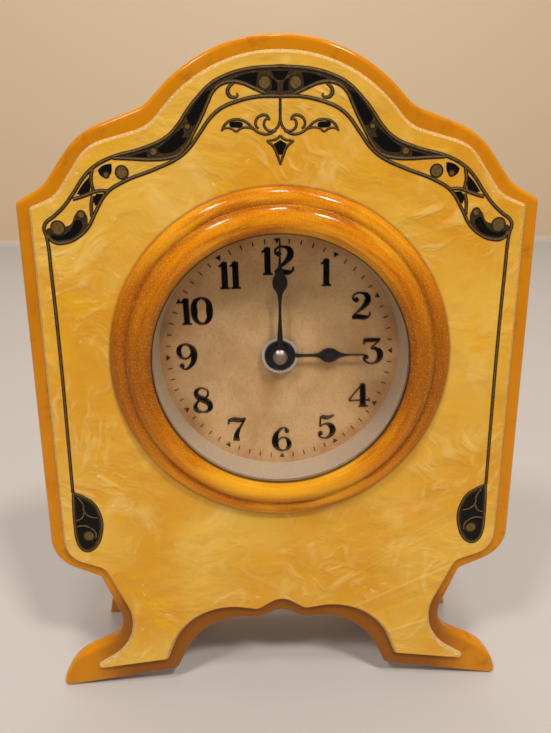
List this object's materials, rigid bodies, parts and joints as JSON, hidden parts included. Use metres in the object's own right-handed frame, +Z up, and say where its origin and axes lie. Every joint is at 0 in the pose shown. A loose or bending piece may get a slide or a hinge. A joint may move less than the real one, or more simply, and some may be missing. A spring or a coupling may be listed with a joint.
{
  "type": "dressing table clock",
  "caption": "Small shaped-front desk clock on two flared feet, with a round bezel, a drum movement behind and a folding rear stand.",
  "frame": {"origin": "on the table under the middle of the clock's width and depth", "axes": "+X to the right seen from the front, +Y from the front to the back, +Z up"},
  "size_m": [0.1028, 0.0462, 0.1367],
  "materials": {
    "amber_celluloid": "polished translucent amber",
    "pearl_celluloid": "polished pearl, cream yellow",
    "nickel": "worn nickel plate",
    "glass": "clear",
    "paper": "aged printed paper",
    "steel": "machined",
    "spring_steel": "blued",
    "brass": "lacquered",
    "drum_metal": "nickel-plated pressing, dulled",
    "black_hands": "black"
  },
  "bodies": {
    "root": {"back_plate": "amber_celluloid", "front_overlay": "pearl_celluloid", "bezel": "amber_celluloid", "sight_ring": "nickel", "crystal": "glass", "dial_plate": "brass", "dial_paper": "paper", "drum": "drum_metal", "back_cap": "drum_metal", "flange_screws": "nickel", "front_movement_plate": "brass", "rear_movement_plate": "brass", "movement_pillars": "steel", "pillar_nuts": "steel", "cap_nuts": "steel", "mainspring": "spring_steel", "hairspring": "spring_steel", "hairspring_stud": "steel", "balance_bearings": "steel", "minute_stud": "steel", "stand_bracket": "brass", "bracket_screws": "nickel", "stand_pin": "steel"},
    "centre": {"centre_arbor": "steel", "centre_wheel": "brass", "cannon_pinion": "steel", "minute_hand": "black_hands", "hand_nut": "nickel"},
    "great": {"great_wheel": "brass", "click_spring": "spring_steel"},
    "winding": {"winding_arbor": "steel", "ratchet_wheel": "steel", "winding_key": "nickel"},
    "click": {"click": "steel"},
    "third": {"third_arbor": "steel", "third_wheel": "brass"},
    "fourth": {"fourth_arbor": "steel", "fourth_wheel": "brass"},
    "escape": {"escape_arbor": "steel", "escape_wheel": "brass"},
    "lever": {"pallet_lever": "steel", "lever_arbor": "steel"},
    "balance": {"balance_wheel": "brass", "balance_staff": "steel"},
    "minute_work": {"minute_wheel": "brass"},
    "hour": {"hour_wheel": "brass", "hour_collet": "nickel", "hour_hand": "black_hands"},
    "setting": {"set_arbor": "steel", "set_pinion": "steel", "set_knob": "nickel"},
    "regulator": {"regulator": "steel"},
    "stand": {"rear_stand": "amber_celluloid"}
  },
  "joints": [
    {"name": "centre_turn", "type": "hinge", "parent": "root", "child": "centre", "pos_m": [0, -0.00972, 0.07838], "axis": [0, 0.9962, -0.0872], "continuous": true},
    {"name": "great_wheel_turn", "type": "hinge", "parent": "root", "child": "great", "pos_m": [-0.01069, -0.01065, 0.06773], "axis": [0, 0.9962, -0.0872], "continuous": true},
    {"name": "third_wheel_turn", "type": "hinge", "parent": "root", "child": "third", "pos_m": [0.0051, -0.00895, 0.08718], "axis": [0, 0.9962, -0.0872], "continuous": true},
    {"name": "fourth_wheel_turn", "type": "hinge", "parent": "root", "child": "fourth", "pos_m": [0.0073, -0.00824, 0.09536], "axis": [0, 0.9962, -0.0872], "continuous": true},
    {"name": "escape_wheel_turn", "type": "hinge", "parent": "root", "child": "escape", "pos_m": [-0.00095, -0.00824, 0.09536], "axis": [0, 0.9962, -0.0872], "continuous": true},
    {"name": "minute_wheel_turn", "type": "hinge", "parent": "root", "child": "minute_work", "pos_m": [0.00614, -0.01005, 0.07463], "axis": [0, 0.9962, -0.0872], "continuous": true},
    {"name": "hour_wheel_turn", "type": "hinge", "parent": "root", "child": "hour", "pos_m": [0, -0.00972, 0.07838], "axis": [0, 0.9962, -0.0872], "continuous": true},
    {"name": "set_knob_turn", "type": "hinge", "parent": "root", "child": "setting", "pos_m": [0.0099, -0.01059, 0.06852], "axis": [0, 0.9962, -0.0872], "continuous": true},
    {"name": "winding_turn", "type": "hinge", "parent": "great", "child": "winding", "pos_m": [-0.01069, -0.01065, 0.06773], "axis": [0, 0.9962, -0.0872], "range_deg": [0, 1800], "deforming": ["mainspring"]},
    {"name": "click_swing", "type": "hinge", "parent": "great", "child": "click", "pos_m": [-0.01469, -0.01126, 0.06083], "axis": [0, 0.9962, -0.0872], "range_deg": [0, 7.66]},
    {"name": "lever_swing", "type": "hinge", "parent": "root", "child": "lever", "pos_m": [-0.00715, -0.00824, 0.09536], "axis": [0, 0.9962, -0.0872], "range_deg": [-9, 9]},
    {"name": "balance_swing", "type": "hinge", "parent": "root", "child": "balance", "pos_m": [-0.0145, -0.00834, 0.09423], "axis": [0, 0.9962, -0.0872], "range_deg": [-270, 270], "stiffness_Nm_per_rad": 0.000002, "deforming": ["hairspring"]},
    {"name": "regulator_swing", "type": "hinge", "parent": "root", "child": "regulator", "pos_m": [-0.0145, -0.00834, 0.09423], "axis": [0, 0.9962, -0.0872], "range_deg": [-12, 12]},
    {"name": "stand_fold", "type": "hinge", "parent": "root", "child": "stand", "pos_m": [0, -0.0123, 0.03745], "axis": [-1, 0, 0], "range_deg": [0, 25.21]}
  ],
  "couplings": [
    {"joint": "great_wheel_turn", "follows": "centre_turn", "ratio": -0.16667},
    {"joint": "third_wheel_turn", "follows": "centre_turn", "ratio": -7.5},
    {"joint": "fourth_wheel_turn", "follows": "centre_turn", "ratio": 60},
    {"joint": "escape_wheel_turn", "follows": "centre_turn", "ratio": -600},
    {"joint": "minute_wheel_turn", "follows": "centre_turn", "ratio": -0.33333},
    {"joint": "hour_wheel_turn", "follows": "centre_turn", "ratio": 0.083333},
    {"joint": "set_knob_turn", "follows": "centre_turn", "ratio": 1}
  ]
}
